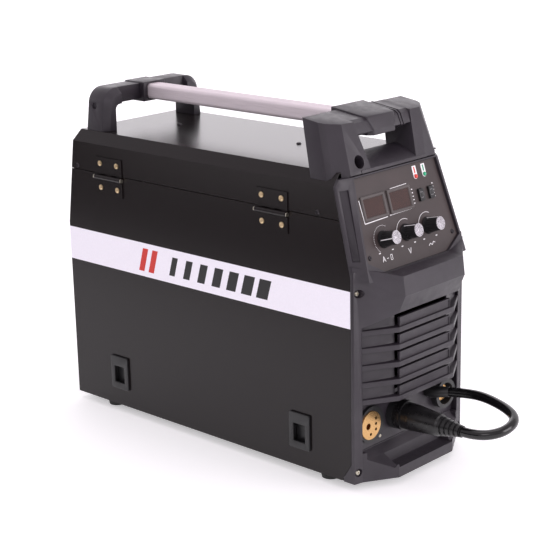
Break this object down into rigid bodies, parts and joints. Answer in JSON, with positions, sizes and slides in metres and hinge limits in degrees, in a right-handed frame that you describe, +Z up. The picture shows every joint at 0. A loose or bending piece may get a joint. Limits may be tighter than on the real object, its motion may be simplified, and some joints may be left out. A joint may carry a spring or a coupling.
{
  "type": "welding power source",
  "caption": "Portable inverter welder: sheet-metal case with hinged wire-feed door, leaning control panel, louvred nose, output sockets and tube carrying handle.",
  "frame": {"origin": "on the floor under the middle of the machine's box, without the polarity lead and its plug", "axes": "+Z up, +Y from the control panel towards the rear panel, +X to the right when facing the front"},
  "size_m": [0.2178, 0.6712, 0.4429],
  "materials": {
    "case_paint": "satin powder coat",
    "stripe_paint": "satin",
    "moulding": "fine texture",
    "panel_film": "satin film",
    "display_window": "gloss",
    "lamp_lens": "clear",
    "knob_plastic": "satin",
    "tube_aluminium": "anodised",
    "brass": "machined",
    "zinc_steel": "zinc plated",
    "cable_rubber": "gloss",
    "plug_rubber": "satin",
    "socket_plastic": "moulded",
    "circuit_board": "satin",
    "cooler_aluminium": "extruded",
    "core_ferrite": "matt",
    "motor_steel": "satin",
    "spool_wire": "copper coated",
    "black_steel": "black oxide",
    "foot_rubber": "matt"
  },
  "bodies": {
    "machine": {"base_pan": "case_paint", "top_cover": "case_paint", "rear_panel": "case_paint", "centre_divider": "zinc_steel", "front_bezel": "moulding", "connector_panel": "moulding", "louvre_grille": "moulding", "front_handle": "moulding", "rear_handle": "moulding", "tube_collars": "moulding", "handle_tube": "tube_aluminium", "control_panel": "panel_film", "control_board": "circuit_board", "digital_displays": "display_window", "status_leds": "lamp_lens", "hinge_upper_leaves": "case_paint", "hinge_pins": "zinc_steel", "upper_hinge_rivets": "zinc_steel", "euro_flange": "socket_plastic", "euro_socket": "brass", "output_socket_shells": "socket_plastic", "output_socket_contacts": "brass", "lead_plug": "plug_rubber", "lead_gland": "socket_plastic", "polarity_lead": "cable_rubber", "fan_housing": "socket_plastic", "fan_guard": "zinc_steel", "power_switch_housing": "socket_plastic", "mains_gland": "socket_plastic", "gas_inlet": "brass", "gas_valve": "motor_steel", "heatsink": "cooler_aluminium", "power_board": "circuit_board", "transformer": "core_ferrite", "output_choke": "core_ferrite", "wire_drive_plate": "cooler_aluminium", "drive_motor": "motor_steel", "spool_axle": "socket_plastic", "feet": "foot_rubber", "bezel_screws": "zinc_steel", "case_screws": "black_steel"},
    "door": {"side_door": "case_paint", "door_stripe": "stripe_paint", "hinge_lower_leaves": "case_paint", "lower_hinge_rivets": "zinc_steel", "latch_housings": "socket_plastic"},
    "front_latch": {"front_latch": "socket_plastic"},
    "rear_latch": {"rear_latch": "socket_plastic"},
    "current_knob": {"current_knob": "knob_plastic"},
    "voltage_knob": {"voltage_knob": "knob_plastic"},
    "inductance_knob": {"inductance_knob": "knob_plastic"},
    "mode_button": {"mode_button": "knob_plastic"},
    "trigger_button": {"trigger_button": "knob_plastic"},
    "power_rocker": {"power_rocker": "knob_plastic"},
    "fan_rotor": {"fan_rotor": "socket_plastic"},
    "wire_spool": {"wire_spool": "spool_wire"},
    "drive_roller": {"drive_roller": "zinc_steel"},
    "pressure_arm": {"pressure_arm": "knob_plastic"},
    "pressure_roller": {"pressure_roller": "zinc_steel"},
    "tension_knob": {"tension_knob": "knob_plastic"}
  },
  "joints": [
    {"name": "door_hinge", "type": "hinge", "parent": "machine", "child": "door", "pos_m": [-0.1059, 0.02455, 0.326], "axis": [0, 1, 0], "range_deg": [0, 110]},
    {"name": "front_latch_slide", "type": "slide", "parent": "door", "child": "front_latch", "axis": [0, 0, 1], "range_m": [0, 0.008], "stiffness_N_per_m": 150},
    {"name": "rear_latch_slide", "type": "slide", "parent": "door", "child": "rear_latch", "axis": [0, 0, 1], "range_m": [0, 0.008], "stiffness_N_per_m": 150},
    {"name": "current_knob_turn", "type": "hinge", "parent": "machine", "child": "current_knob", "pos_m": [-0.0457, -0.24262, 0.2995], "axis": [0, -0.9548, 0.2974], "range_deg": [-140, 140]},
    {"name": "voltage_knob_turn", "type": "hinge", "parent": "machine", "child": "voltage_knob", "pos_m": [-0.0037, -0.24262, 0.2995], "axis": [0, -0.9548, 0.2974], "range_deg": [-140, 140]},
    {"name": "inductance_knob_turn", "type": "hinge", "parent": "machine", "child": "inductance_knob", "pos_m": [0.0383, -0.24262, 0.2995], "axis": [0, -0.9548, 0.2974], "range_deg": [-140, 140]},
    {"name": "mode_button_press", "type": "slide", "parent": "machine", "child": "mode_button", "axis": [0, 0.9548, -0.2974], "range_m": [0, 0.0014], "stiffness_N_per_m": 800},
    {"name": "trigger_button_press", "type": "slide", "parent": "machine", "child": "trigger_button", "axis": [0, 0.9548, -0.2974], "range_m": [0, 0.0014], "stiffness_N_per_m": 800},
    {"name": "power_rocker_tilt", "type": "hinge", "parent": "machine", "child": "power_rocker", "pos_m": [0.0663, 0.25305, 0.215], "axis": [1, 0, 0], "range_deg": [-10, 10]},
    {"name": "fan_spin", "type": "hinge", "parent": "machine", "child": "fan_rotor", "pos_m": [0.0563, 0.24105, 0.116], "axis": [0, 1, 0], "continuous": true},
    {"name": "wire_spool_spin", "type": "hinge", "parent": "machine", "child": "wire_spool", "pos_m": [-0.0442, 0.10505, 0.2], "axis": [1, 0, 0], "continuous": true},
    {"name": "drive_roller_spin", "type": "hinge", "parent": "machine", "child": "drive_roller", "pos_m": [-0.0697, -0.09995, 0.0614], "axis": [1, 0, 0], "continuous": true},
    {"name": "pressure_arm_lift", "type": "hinge", "parent": "machine", "child": "pressure_arm", "pos_m": [-0.0697, -0.06795, 0.098], "axis": [1, 0, 0], "range_deg": [-50, 0]},
    {"name": "pressure_roller_spin", "type": "hinge", "parent": "pressure_arm", "child": "pressure_roller", "pos_m": [-0.0697, -0.09995, 0.0886], "axis": [1, 0, 0], "continuous": true},
    {"name": "tension_knob_turn", "type": "hinge", "parent": "pressure_arm", "child": "tension_knob", "pos_m": [-0.0697, -0.13595, 0.12], "axis": [0, 0, 1], "range_deg": [-170, 170]}
  ],
  "couplings": [
    {"joint": "pressure_roller_spin", "follows": "drive_roller_spin", "ratio": -1.3636}
  ]
}
